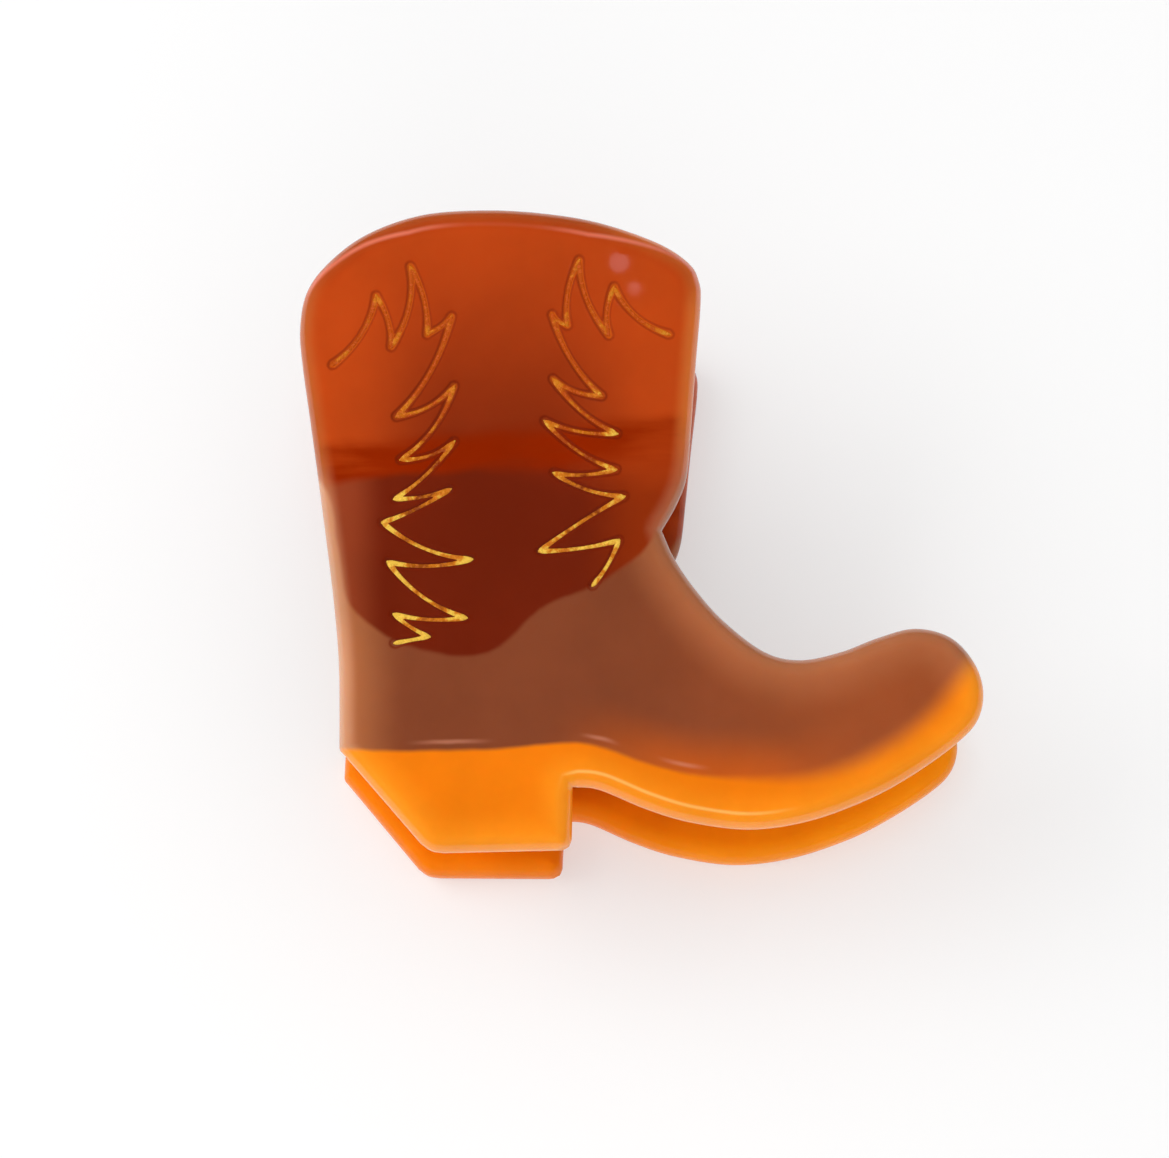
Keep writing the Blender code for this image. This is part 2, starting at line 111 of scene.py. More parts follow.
# Zigzag stitch runs: each entry is a stroke's end and its sideways bow.
STITCH_LEFT = (
    ((-18.7, 11.4), 0.0), ((-13.9, 19.1), 0.9), ((-12.2, 13.4), -0.5), ((-10.1, 22.4), 0.9),
    ((-8.2, 14.8), -0.6), ((-5.5, 16.8), 0.2), ((-11.6, 5.6), -0.9), ((-5.2, 9.0), 0.7),
    ((-11.1, 0.8), -0.9), ((-5.2, 2.8), 0.6), ((-11.8, -3.6), -0.5), ((-5.6, -2.5), 0.3),
    ((-13.1, -6.2), -0.3), ((-3.2, -10.3), 0.9), ((-12.5, -10.6), -0.6), ((-3.8, -16.8), 0.9),
    ((-11.8, -16.4), -0.4), ((-7.9, -18.9), 0.2), ((-11.7, -19.6), 0.0),
)
STITCH_RIGHT = (
    ((18.7, 14.8), 0.0), ((12.6, 20.1), -0.9), ((12.0, 14.7), 0.5), ((8.7, 23.1), -0.8),
    ((7.4, 15.8), 0.6), ((5.7, 17.0), -0.2), ((11.2, 7.9), 0.8), ((5.8, 9.8), -0.5),
    ((12.9, 3.7), 0.7), ((4.9, 5.1), -0.5), ((12.8, -0.3), 0.7), ((5.9, -0.7), -0.4),
    ((13.7, -3.3), 0.6), ((4.3, -9.4), 0.2), ((13.1, -8.2), 0.3), ((10.2, -13.2), -0.3),
)
STITCH_STEP = 0.35
STITCH_TIP = 0.62  # half width of the engraving at a stroke's tips
STITCH_WAIST = 0.44  # and halfway along a stroke
STITCH_DEPTH = 0.34
STITCH_ROWS = (0.0, 0.17, 0.32, 0.46, 0.60, 0.78)
STITCH_OVERRUN = 1.6  # the rows run past a stroke's ends by this many steps
STITCH_CELL = 0.13  # row points that share a cell of this size count as one
STITCH_CLEAR = 0.8  # fill points nearer to a stroke than this give way to its rows
STITCH_MARGIN = 1.3  # nothing further than this outside a stroke's box is engraved by it
GOLD_BELOW = 0.17  # gold fill lies this far below the polished face
GOLD_TAPER = 0.9  # the fill widens over this length from a stroke's end
GOLD_POINT = 0.3  # from this share of its width
GOLD_FILL = 0.74  # the fill's share of the engraving's width at a stroke's tips
GOLD_THIN = 0.24  # and how much less of it halfway along
GOLD_FULLER = 0.28  # the lowest strokes hold this much more
GOLD_FULL_BELOW = 2.0  # starting below this height
GOLD_FULL_OVER = 8.0  # and growing over this distance
GOLD_ACROSS = (-1.0, -0.55, 0.0, 0.55, 1.0)
GOLD_CROWN = 0.05  # the ribbon's rise in the middle
GOLD_DIP = 0.10  # and its fall at the edges
GOLD_END = 0.30  # the ribbon's point runs on by this
GOLD_END_DROP = 0.08
GLEAM_REACH = 1.9  # the painted highlight on the gold reaches about this length from a corner
GLEAM_INNER = 0.6  # and less at the corners on a run's inner side

COMB_LINE = ((-13.6, -30.6), (-9.9, -34.8), (-5.9, -36.4), (1.8, -36.0), (6.4, -31.6),
             (13.2, -30.6), (20.2, -32.4), (27.5, -33.2), (33.8, -32.3), (40.0, -29.9),
             (45.0, -27.4), (48.4, -24.4))
COMB_WIDTH = 2.8
COMB_HEIGHT = 1.9
TOOTH_PITCH = 7.6
TOOTH_ROOT = 1.25
TOOTH_LENGTH = 13.4
TOOTH_LEAN = -0.8
TOOTH_START = 0.4  # the root starts this far off the plate, inside the bar
TOOTH_SIDES = 28

LUG_FOOT = 11.0
LUG_EYE = 3.6
LUG_EDGE = 0.45
LUG_PLAY = 0.06  # round the pin
PIN_RADIUS = 1.2
PIN_DOME = (0.5, 0.45)  # length and fall of the pin's rounded ends
COLLAR_EDGE = 0.3
COLLAR_SOFT = 0.09
COLLAR_PLAY = 0.04
WIRE_RADIUS = 0.5
WIRE_LIFT = 0.1  # between the legs and the plates
COIL_RADIUS = 2.7
COIL_HALF = 5.6  # half of the coil's length along the pin
COIL_TURNS = 5
COIL_START = math.radians(140)
COIL_EXTRA = math.radians(80)  # beyond whole turns
COIL_STEPS = 44  # per turn
LEG_REACH = 15.0
LEG_FLAT = 4.4  # how much of a leg lies against its plate
LEG_BEND = (5.2, 0.35)  # and where it starts to leave the plate

# Lamps that only light: name, place and aim in metres, size in metres, power in watts.
LAMPS = (
    ("sky", (0, 0, 1.2), (0, 0, 0), 4.0, 49.0),
    ("key", (-0.75, 0.15, 0.55), (0, 0, 0.02), 0.8, 5.0),
    ("low", (0.10, -0.90, 0.35), (0, 0, 0.02), 0.7, 2.4),
)
# Lamps seen as discs in the front plate: name, spot on the plate and radius in millimetres.
REFLECTED_LAMPS = (("near", (13.2, 22.8), 1.4), ("far", (14.9, 19.9), 0.85))
REFLECTED_AT = 0.12  # metres from the plate
REFLECTED_POWER = 1.9 * math.pi  # watts per square metre of lamp
FLOOR_GLOW = 0.44
# Sines of the two elevations between which the surroundings dim, and the brightness there.
CEILING = (0.50, 0.90, 0.95, 0.02)

# The main view: above the sole end, almost square on to the front plate.
VIEW_ELEVATION = math.radians(70.1)
VIEW_DISTANCE = 437.0
VIEW_CENTRE = (9.3, -12.35)
VIEW_WIDTH = 130.15  # seen across the picture, at the front plate


def linear(red, green, blue):
    """A display colour, 0 to 255, as the scene-linear colour that shaders take."""
    def one(value):
        value /= 255
        return value / 12.92 if value <= 0.04045 else ((value + 0.055) / 1.055) ** 2.4

    return (one(red), one(green), one(blue), 1.0)


def catmull(points, step):
    """Array of points about a step apart on the smooth curve through the given points."""
    spots = np.array(points, float)
    if len(spots) == 2:
        count = max(1, round(float(np.linalg.norm(spots[1] - spots[0])) / step))
        t = np.linspace(0, 1, count + 1)[:, None]
        return spots[0] * (1 - t) + spots[1] * t
    padded = np.vstack([2 * spots[0] - spots[1], spots, 2 * spots[-1] - spots[-2]])
    found = [spots[:1]]
    for a, b, c, d in zip(padded, padded[1:], padded[2:], padded[3:]):
        count = max(1, round(float(np.linalg.norm(c - b)) / step))
        t = (np.arange(1, count + 1) / count)[:, None]
        found.append(
            0.5 * (2 * b + (c - a) * t + (2 * a - 5 * b + 4 * c - d) * t ** 2
                   + (3 * b - a - 3 * c + d) * t ** 3)
        )
    return np.vstack(found)


def outline_points():
    """The boot's outline as one closed loop."""
    return np.vstack([catmull(stretch, OUTLINE_STEP)[:-1] for stretch in OUTLINE])


def nearest(points, line, closed=False):
    """Distance from each point to a polyline, the side it lies on, and where along it."""
    starts = line if closed else line[:-1]
    ends = np.roll(line, -1, axis=0) if closed else line[1:]
    along = ends - starts
    length = (along ** 2).sum(1)
    best = np.full(len(points), np.inf)
    side = np.zeros(len(points))
    where = np.zeros(len(points))
    for i, (a, v, n) in enumerate(zip(starts, along, length)):
        rel = points - a
        t = np.clip(rel @ v / n, 0, 1)
        gap = rel - t[:, None] * v
        far = np.hypot(gap[:, 0], gap[:, 1])
        near = far < best
        best[near] = far[near]
        side[near] = (v[0] * rel[:, 1] - v[1] * rel[:, 0])[near]
        where[near] = i + t[near]
    return best, side, where


def inside(points, loop):
    """True for each point inside the closed loop, by counting crossings."""
    x, y = points[:, 0], points[:, 1]
    found = np.zeros(len(points), bool)
    for (x0, y0), (x1, y1) in zip(loop, np.roll(loop, -1, axis=0)):
        if y0 == y1:
            continue
        crosses = (y0 > y) != (y1 > y)
        found ^= crosses & (x < (x1 - x0) * (y - y0) / (y1 - y0) + x0)
    return found


def strokes_of(run):
    """Each stroke of a stitch run as a fine polyline."""
    found = []
    for (start, _), (end, bow) in zip(run, run[1:]):
        a, b = np.array(start), np.array(end)
        along = b - a
        side = np.array((along[1], -along[0])) / np.linalg.norm(along)
        count = max(4, round(float(np.linalg.norm(along)) / STITCH_STEP))
        t = np.linspace(0, 1, count + 1)[:, None]
        found.append(a + along * t + side * bow * 4 * t * (1 - t))
    return found


STROKES = [*strokes_of(STITCH_LEFT), *strokes_of(STITCH_RIGHT)]


def stroke_width(share):
    """Half width of the engraving at a share of the way along a stroke."""
    middle = 1 - (2 * share - 1) ** 2
    return STITCH_TIP + (STITCH_WAIST - STITCH_TIP) * middle


def engraving(points):
    """How far into the engraving each point is: 1 on a stroke, 0 at its edge, then negative."""
    share = np.full(len(points), -1.0)
    for stroke in STROKES:
        low, high = stroke.min(0) - STITCH_MARGIN, stroke.max(0) + STITCH_MARGIN
        close = ((points > low) & (points < high)).all(1)
        if not close.any():
            continue
        far, _, where = nearest(points[close], stroke)
        half = stroke_width(where / (len(stroke) - 1))
        share[close] = np.maximum(share[close], 1 - far / half)
    return share


def offsets(line, distance):
    """The line moved sideways by a distance, to the left of its direction."""
    along = np.gradient(line, axis=0)
    along /= np.linalg.norm(along, axis=1)[:, None]
    return line + np.column_stack([-along[:, 1], along[:, 0]]) * distance


def thinned(points, cell):
    """The points with near-duplicates dropped."""
    _, first = np.unique(np.round(points / cell).astype(int), axis=0, return_index=True)
    return points[np.sort(first)]


def outward(loop):
    """Unit directions out of a closed loop at each of its points."""
    along = np.roll(loop, -1, axis=0) - np.roll(loop, 1, axis=0)
    away = np.column_stack([along[:, 1], -along[:, 0]])
    away /= np.linalg.norm(away, axis=1)[:, None]
    return -away if inside(loop[:1] + away[:1] * 0.1, loop)[0] else away


def rim_normals(loop, inset, where, cut, up):
    """Exact normals on the rounded rim; zero elsewhere, where the mesh's own will do."""
    away = outward(loop)
    step = np.floor(where).astype(int)
    share = (where - step)[:, None]
    count = len(loop)
    flat = away[step % count] * (1 - share) + away[(step + 1) % count] * share
    flat /= np.linalg.norm(flat, axis=1)[:, None]
    lean = np.clip(1 - inset / EDGE_RADIUS, 0, 1)[:, None]
    found = np.hstack([flat * lean, up * np.sqrt(1 - lean ** 2)])
    found[(inset > EDGE_RADIUS * 0.98) | (cut > 0)] = 0
    return found


def face_points(loop, engraved):
    """Points that carry one face of the plate: rim rings, a fill, and rows along the stitches."""
    normal = -outward(loop)
    rings = []
    for k in range(1, EDGE_STEPS + 1):
        reach = EDGE_RADIUS * (1 - math.cos(math.pi / 2 * k / EDGE_STEPS))
        ring = loop + normal * reach
        far, _, _ = nearest(ring, loop, closed=True)
        rings.append(ring[inside(ring, loop) & (far > reach * RING_KEPT)])
    low, high = loop.min(0), loop.max(0)
    xs = np.arange(low[0], high[0], FILL_STEP)
    ys = np.arange(low[1], high[1], FILL_STEP * FILL_ROWS)
    grid = np.array([
        (x + (row % 2) * FILL_STEP / 2, y) for row, y in enumerate(ys) for x in xs
    ])
    grid = grid[inside(grid, loop)]
    far, _, _ = nearest(grid, loop, closed=True)
    grid = grid[far > EDGE_RADIUS + FILL_MARGIN]
    if not engraved:
        return np.vstack([*rings, grid])
    rows = []
    for stroke in STROKES:
        grown = np.vstack([
            stroke[0] - (stroke[1] - stroke[0]) * STITCH_OVERRUN,
            stroke,
            stroke[-1] + (stroke[-1] - stroke[-2]) * STITCH_OVERRUN,
        ])
        for row in STITCH_ROWS:
            rows.append(offsets(grown, row))
            if row:
                rows.append(offsets(grown, -row))
    rows = thinned(np.vstack(rows), STITCH_CELL)
    rows = rows[inside(rows, loop)]
    for stroke in STROKES:
        far, _, _ = nearest(grid, stroke)
        grid = grid[far > STITCH_CLEAR]
    return np.vstack([*rings, grid, rows])


def rim_height(inset):
    """Height above the plate's middle plane of its rounded rim and flat face."""
    short = np.clip(EDGE_RADIUS - inset, 0, EDGE_RADIUS)
    return PLATE / 2 - EDGE_RADIUS + np.sqrt(EDGE_RADIUS ** 2 - short ** 2)


def triangulated(loop, points):
    """Points and triangles filling the loop; the loop's own points come first."""
    everything = [Vector(p) for p in np.vstack([loop, points])]
    made = delaunay_2d_cdt(everything, [], [list(range(len(loop)))], 1, 1e-5)
    return np.array([tuple(v) for v in made[0]]), [tuple(f) for f in made[2]]


def add_attribute(mesh, name, values):
    layer = mesh.attributes.new(name, "FLOAT", "POINT")
    layer.data.foreach_set("value", np.asarray(values, np.float32))


def in_scene(name, data):
    obj = bpy.data.objects.new(name, data)
    bpy.context.scene.collection.objects.link(obj)
    return obj


def evaluated_mesh(obj):
    """The object's mesh with its modifiers or curve settings applied."""
    bpy.context.view_layer.update()
    graph = bpy.context.evaluated_depsgraph_get()
    return bpy.data.meshes.new_from_object(obj.evaluated_get(graph))


def finished(name, bm):
    """The mesh of a closed shape, its faces turned outwards and shaded smooth."""
    bmesh.ops.recalc_face_normals(bm, faces=bm.faces)
    return smooth(name, bm)


def smooth(name, bm):
    """The mesh as built, shaded smooth."""
    mesh = bpy.data.meshes.new(name)
    bm.to_mesh(mesh)
    bm.free()
    mesh.shade_smooth()
    return mesh


def skin(bm, rings):
    """Faces between each closed ring of vertices and the next."""
    for low, high in zip(rings, rings[1:]):
        for k in range(len(low)):
            n = (k + 1) % len(low)
            bm.faces.new((low[k], low[n], high[n], high[k]))


def plate_mesh(name, side):
    """A whole boot plate; side is +1 for the outer face up and -1 for outer face down."""
    loop = outline_points()
    verts, faces, attributes = [], [], []
    rims, normals = [], []
    for outer in (True, False):
        spots, triangles = triangulated(loop, face_points(loop, outer))
        inset, _, where = nearest(spots, loop, closed=True)
        inset[:len(loop)] = 0
        where[:len(loop)] = np.arange(len(loop))
        height = rim_height(inset)
        cut = engraving(spots) if outer else np.full(len(spots), -1.0)
        normals.append(rim_normals(loop, inset, where, cut, side if outer else -side))
        groove = np.clip(cut, 0, 1)
        height -= STITCH_DEPTH * groove * groove * (3 - 2 * groove)
        middle = (OUTER + INNER) / 2
        z = middle + (height if outer else -height)
        first = len(verts)
        verts += [(x * MM, y * MM, side * h * MM) for (x, y), h in zip(spots, z)]
        up = outer == (side > 0)
        faces += [
            tuple(first + i for i in (face if up else face[::-1])) for face in triangles
        ]
        rims.append(first)
        to_shaft, shaft_side, _ = nearest(spots, catmull(SHAFT_SEAM, 1.0))
        to_sole, sole_side, _ = nearest(spots, catmull(SOLE_SEAM, 1.0))
        attributes.append(np.column_stack([
            inset, to_shaft * np.sign(shaft_side), to_sole * np.sign(sole_side), cut,
        ]))
    count = len(loop)
    for k in range(count):
        n = (k + 1) % count
        quad = (rims[0] + k, rims[0] + n, rims[1] + n, rims[1] + k)
        faces.append(quad if side < 0 else quad[::-1])
    mesh = bpy.data.meshes.new(name)
    mesh.from_pydata(verts, [], faces)
    values = np.vstack(attributes)
    for column, label in enumerate(("inset", "shaft", "sole", "cut")):
        add_attribute(mesh, label, values[:, column])
    bm = bmesh.new()
    bm.from_mesh(mesh)
    bmesh.ops.recalc_face_normals(bm, faces=bm.faces)
    bm.to_mesh(mesh)
    bm.free()
    mesh.shade_smooth()
    mesh.normals_split_custom_set_from_vertices(np.vstack(normals).tolist())
    return mesh


def gold_mesh(name, strokes, side):
    """Gold fill of the engraving: a slightly domed ribbon along each stroke."""
    bm = bmesh.new()
    painted_gleam = []
    for stroke in strokes:
        last = len(stroke) - 1
        rows = []
        leftward = stroke[-1][0] < stroke[0][0]
        for i, spot in enumerate(stroke):
            middle = 1 - (2 * i / last - 1) ** 2
            to_end = min(i, last - i) * STITCH_STEP
            taper = min(1.0, GOLD_POINT + to_end / GOLD_TAPER)
            low_down = float(np.clip((GOLD_FULL_BELOW - spot[1]) / GOLD_FULL_OVER, 0, 1))
            fill = GOLD_FILL - GOLD_THIN * middle
            half = stroke_width(i / last) * fill * taper * (1 + GOLD_FULLER * low_down)
            outer_end = (i > last / 2) == (leftward == (spot[0] < 0))
            # How much painted highlight the gold gets here, most at a stroke's outer corner.
            shine = math.exp(-(to_end / GLEAM_REACH) ** 2) * (1.0 if outer_end else GLEAM_INNER)
            painted_gleam += [shine] * len(GOLD_ACROSS)
            along = stroke[min(i + 1, last)] - stroke[max(i - 1, 0)]
            along /= np.linalg.norm(along)
            across = np.array((-along[1], along[0]))
            row = []
            for share in GOLD_ACROSS:
                x, y = spot + across * half * share
                lift = GOLD_CROWN * (1 - share ** 2) - GOLD_DIP * share ** 2
                z = side * (OUTER - GOLD_BELOW + lift)
                row.append(bm.verts.new((x * MM, y * MM, z * MM)))
            rows.append(row)
        for low, high in zip(rows, rows[1:]):
            for a, b, c, d in zip(low, low[1:], high[1:], high):
                bm.faces.new((a, b, c, d))
        for row in (rows[0], rows[-1]):
            centre = sum((v.co for v in row), Vector()) / len(row)
            away = stroke[0] - stroke[1] if row is rows[0] else stroke[-1] - stroke[-2]
            away /= np.linalg.norm(away)
            tip = centre + Vector((*(away * GOLD_END * MM), -side * GOLD_END_DROP * MM))
            end = bm.verts.new(tip)
            painted_gleam.append(1.0)
            for a, b in zip(row, row[1:]):
                bm.faces.new((a, b, end))
    bmesh.ops.recalc_face_normals(bm, faces=bm.faces)
    if sum(face.normal.z for face in bm.faces) * side < 0:
        bmesh.ops.reverse_faces(bm, faces=bm.faces)
    mesh = smooth(name, bm)
    add_attribute(mesh, "painted_gleam", painted_gleam)
    return mesh


def bar_along(bm, line, root, side):
    """The comb's bar: a low rounded strip along the line, closed at both ends."""
    half = COMB_WIDTH / 2
    profile = [
        (-half, 0.0), (-half, 0.55), (-half * 0.93, 0.78), (-half * 0.75, 0.93),
        (-half * 0.45, 1.0), (half * 0.45, 1.0), (half * 0.75, 0.93), (half * 0.93, 0.78),
        (half, 0.55), (half, 0.0),
    ]
    along = np.gradient(line, axis=0)
    along /= np.linalg.norm(along, axis=1)[:, None]
    last = len(line) - 1
    rings = []
    for i, (spot, ahead) in enumerate(zip(line, along)):
        across = np.array((-ahead[1], ahead[0]))
        taper = min(1.0, 0.45 + 0.28 * min(i, last - i))
        ring = []
        for out, up in profile:
            x, y = spot + across * out * taper
            z = root - side * COMB_HEIGHT * up * (0.6 + 0.4 * taper)
            ring.append(bm.verts.new((x * MM, y * MM, z * MM)))
        rings.append(ring)
    skin(bm, rings)
    bm.faces.new(rings[0])
    bm.faces.new(rings[-1])


def tooth(bm, spot, root, side):
    """One tapered tooth with a flared root and a round tip."""
    reach = TOOTH_LENGTH - TOOTH_START
    levels = [(0.0, 1.30), (0.10, 1.30), (0.15, 1.10), (0.21, 1.01), (0.30, 0.95)]
    levels += [(t, 0.95 - 0.46 * ((t - 0.3) / 0.6) ** 1.3) for t in (0.45, 0.6, 0.75, 0.87)]
    levels += [
        (1 - 0.045 * (1 - math.sin(a)), 0.50 * math.cos(a))
        for a in (math.pi / 2 * k / 6 for k in range(1, 6))
    ]
    rings = []
    for share, size in levels:
        radius = TOOTH_ROOT * size
        lean = TOOTH_LEAN * share * share
        z = (root - side * reach * share) * MM
        rings.append([
            bm.verts.new((
                (spot[0] + radius * math.cos(a)) * MM,
                (spot[1] + lean + radius * math.sin(a)) * MM,
                z,
            ))
            for a in (2 * math.pi * k / TOOTH_SIDES for k in range(TOOTH_SIDES))
        ])
    skin(bm, rings)
    bm.faces.new(rings[0])
    bm.faces.new(rings[-1])


def comb_mesh(name, side, phase):
    """A comb's bar and teeth; the phase is where its first tooth stands, in pitches."""
    line = catmull(COMB_LINE, 0.8)
    root = side * INNER
    bm = bmesh.new()
    bar_along(bm, line, root, side)
    coarse = catmull(COMB_LINE, 2.0)
    steps = np.linalg.norm(np.diff(coarse, axis=0), axis=1)
    lengths = np.concatenate([[0.0], np.cumsum(steps)])
    along = phase * TOOTH_PITCH + TOOTH_ROOT * 0.8
    while along < lengths[-1] - TOOTH_ROOT * 0.6:
        spot = [np.interp(along, lengths, coarse[:, axis]) for axis in (0, 1)]
        tooth(bm, spot, root - side * TOOTH_START, side)
        along += TOOTH_PITCH
    return finished(name, bm)


def revolve(name, profile, sides=48):
    """A turned piece round the X axis from (x, radius) pairs; the ends close on the axis."""
    bm = bmesh.new()
    rings = []
    for x, radius in profile:
        rings.append([
            bm.verts.new((x * MM, radius * MM * math.cos(a), radius * MM * math.sin(a)))
            for a in (2 * math.pi * k / sides for k in range(sides))
        ])
    skin(bm, rings)
    if profile[0] != profile[-1]:
        bm.faces.new(rings[0])
        bm.faces.new(rings[-1])
    else:
        bmesh.ops.remove_doubles(bm, verts=bm.verts, dist=1e-7)
    return finished(name, bm)


def lug_object(name, side, node, mat, frame_matrix):
    """An ear with an eye for the pin, its edges rounded, made over the CAD ear's place."""
    low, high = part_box(node)
    centre = (low.x + high.x) / 2 / MM
    half_thick = (high.x - low.x) / 2 / MM
    half = LUG_FOOT / 2
    shape = [(-half, INNER - 0.05), (-half, INNER - 2.0), (-half + 0.6, INNER - 3.4)]
    for k in range(25):
        a = math.pi + math.pi * k / 24
        shape.append((LUG_EYE * math.cos(a), LUG_EYE * math.sin(a)))
    shape += [(half - 0.6, INNER - 3.4), (half, INNER - 2.0), (half, INNER - 0.05)]
    bm = bmesh.new()
    base = [
        bm.verts.new(((centre - half_thick) * MM, y * MM, side * z * MM)) for y, z in shape
    ]
    grown = bmesh.ops.extrude_face_region(bm, geom=[bm.faces.new(base)])
    moved = [v for v in grown["geom"] if isinstance(v, bmesh.types.BMVert)]
    bmesh.ops.translate(bm, verts=moved, vec=(2 * half_thick * MM, 0, 0))
    obj = in_scene(name, finished(name, bm))
    eye = bmesh.new()
    bmesh.ops.create_cone(
        eye, cap_ends=True, segments=48, depth=4 * half_thick * MM,
        radius1=(PIN_RADIUS + LUG_PLAY) * MM, radius2=(PIN_RADIUS + LUG_PLAY) * MM,
        matrix=Matrix.Translation((centre * MM, 0, 0)) @ Matrix.Rotation(math.pi / 2, 4, "Y"),
    )
    tool_mesh = bpy.data.meshes.new(f"{name}_eye")
    eye.to_mesh(tool_mesh)
    eye.free()
    tool = in_scene(f"{name}_eye", tool_mesh)
    cut = obj.modifiers.new("eye", "BOOLEAN")
    cut.object = tool
    cut.solver = "EXACT"
    round_off = obj.modifiers.new("rounded", "BEVEL")
    round_off.width = LUG_EDGE * MM
    round_off.segments = 3
    round_off.limit_method = "ANGLE"
    round_off.angle_limit = math.radians(35)
    made = evaluated_mesh(obj)
    obj.modifiers.clear()
    obj.data = made
    made.shade_smooth()
    made.set_sharp_from_angle(angle=math.radians(50))
    bpy.data.objects.remove(tool)
    obj.matrix_world = frame_matrix
    made.materials.clear()
    made.materials.append(mat)
    return obj


def spring_object(mat):
    """The spring's wire as one swept mesh, bent between the jaws through its coil."""
    rest = INNER - WIRE_LIFT - WIRE_RADIUS
    up = Vector((0, math.cos(SPLAY), math.sin(SPLAY)))
    out = Vector((0, -math.sin(SPLAY), math.cos(SPLAY)))
    points = []
    total = 2 * math.pi * COIL_TURNS + COIL_EXTRA
    count = round(COIL_STEPS * total / (2 * math.pi))
    for k in range(count + 1):
        t = k / count
        angle = COIL_START - total * t
        points.append(Vector((-COIL_HALF + 2 * COIL_HALF * t, COIL_RADIUS * math.cos(angle),
                              COIL_RADIUS * math.sin(angle))))
    bend, drop = LEG_BEND
    front = [up * LEG_REACH + out * rest, up * (LEG_REACH - LEG_FLAT) + out * rest,
             up * (LEG_REACH - bend) + out * (rest - drop)]
    rear = [Vector((0, LEG_REACH - bend, -rest + drop)),
            Vector((0, LEG_REACH - LEG_FLAT, -rest)), Vector((0, LEG_REACH, -rest))]
    for spot in front:
        spot.x = -COIL_HALF
    for spot in rear:
        spot.x = COIL_HALF
    path = [*front, *points, *rear]
    curve = bpy.data.curves.new("spring_wire", "CURVE")
    curve.dimensions = "3D"
    curve.bevel_depth = WIRE_RADIUS * MM
    curve.bevel_resolution = 5
    curve.use_fill_caps = True
    run = curve.splines.new("POLY")
    run.points.add(len(path) - 1)
    for spot, point in zip(run.points, path):
        spot.co = (*(point * MM + AXIS), 1.0)
    holder = in_scene("spring_path", curve)
    mesh = evaluated_mesh(holder)
    bpy.data.objects.remove(holder)
    mesh.shade_smooth()
    obj = in_scene("spring", mesh)
    mesh.materials.clear()
    mesh.materials.append(mat)
    return obj


class Nodes:
    """Small helper for shader trees: add nodes, link values."""

    def __init__(self, name):
        self.material = bpy.data.materials.new(name)
        self.material.use_nodes = True
        self.tree = self.material.node_tree
        self.shader = self.tree.nodes["Principled BSDF"]

    def add(self, kind, **inputs):
        return self.fill(self.tree.nodes.new(kind), inputs)

    def surface(self, **inputs):
        """Set the material's own inputs, with underscores for spaces."""
        self.fill(self.shader, inputs)

    def fill(self, node, inputs):
        for key, value in inputs.items():
            self.put(node, key.replace("_", " "), value)
        return node

    def put(self, node, key, value):
        if isinstance(value, bpy.types.NodeSocket):
            self.tree.links.new(value, node.inputs[key])
        else:
            node.inputs[key].default_value = value

    def attribute(self, name):
        node = self.add("ShaderNodeAttribute")
        node.attribute_name = name
        return node.outputs["Fac"]

    def place(self):
        return self.add("ShaderNodeTexCoord").outputs["Object"]

    def axis(self, index):
        split = self.add("ShaderNodeSeparateXYZ", Vector=self.place())
        return self.math("MULTIPLY", split.outputs[index], 1 / MM)

    def noise(self, size, detail=2.0, rough=0.5):
        """Noise with features of about this size in millimetres, from 0 to 1."""
        node = self.add("ShaderNodeTexNoise", Vector=self.place(), Scale=1 / (size * MM),
                        Detail=detail, Roughness=rough)
        return node.outputs["Fac"]

    def streaks(self):
        """Noise drawn out along x, from 0 to 1; it streaks the painted shade of the hinge across
        the shaft.
        """
        long = self.add("ShaderNodeVectorMath", Vector=self.place())
        long.operation = "MULTIPLY"
        long.inputs[1].default_value = (0.16, 1.0, 1.0)
        node = self.add("ShaderNodeTexNoise", Vector=long.outputs[0], Scale=1 / (1.6 * MM),
                        Detail=3.0)
        return node.outputs["Fac"]

    def math(self, operation, a, b=0.0, c=0.0):
        node = self.tree.nodes.new("ShaderNodeMath")
        node.operation = operation
        for i, value in enumerate((a, b, c)):
            self.put(node, i, value)
        return node.outputs[0]

    def times(self, a, b):
        return self.math("MULTIPLY", a, b)

    def between(self, value, low, high, to_low=0.0, to_high=1.0):
        """The value mapped smoothly from low..high to to_low..to_high and held there."""
        node = self.tree.nodes.new("ShaderNodeMapRange")
        node.interpolation_type = "SMOOTHSTEP"
        for i, item in enumerate((value, low, high, to_low, to_high)):
            self.put(node, i, item)
        return node.outputs[0]

    def ramp(self, value, low, high):
        """How far the value is from low to high in a straight line, held between 0 and 1."""
        node = self.tree.nodes.new("ShaderNodeMapRange")
        for i, item in enumerate((value, low, high)):
            self.put(node, i, item)
        return node.outputs[0]

    def mix(self, share, a, b, blend="MIX"):
        node = self.tree.nodes.new("ShaderNodeMix")
        node.data_type = "RGBA"
        node.blend_type = blend
        self.put(node, 0, share)
        self.put(node, 6, a)
        self.put(node, 7, b)
        return node.outputs[2]

    def bump(self, height, distance, strength=1.0):
        node = self.add("ShaderNodeBump", Strength=strength, Distance=distance * MM,
                        Height=height)
        self.surface(Normal=node.outputs[0])


def around(n, value, centre, reach):
    """1 at the centre of a band, fading to 0 at reach on either side."""
    off = n.math("ABSOLUTE", n.math("SUBTRACT", value, centre))
    return n.between(off, 0.0, reach, 1.0, 0.0)


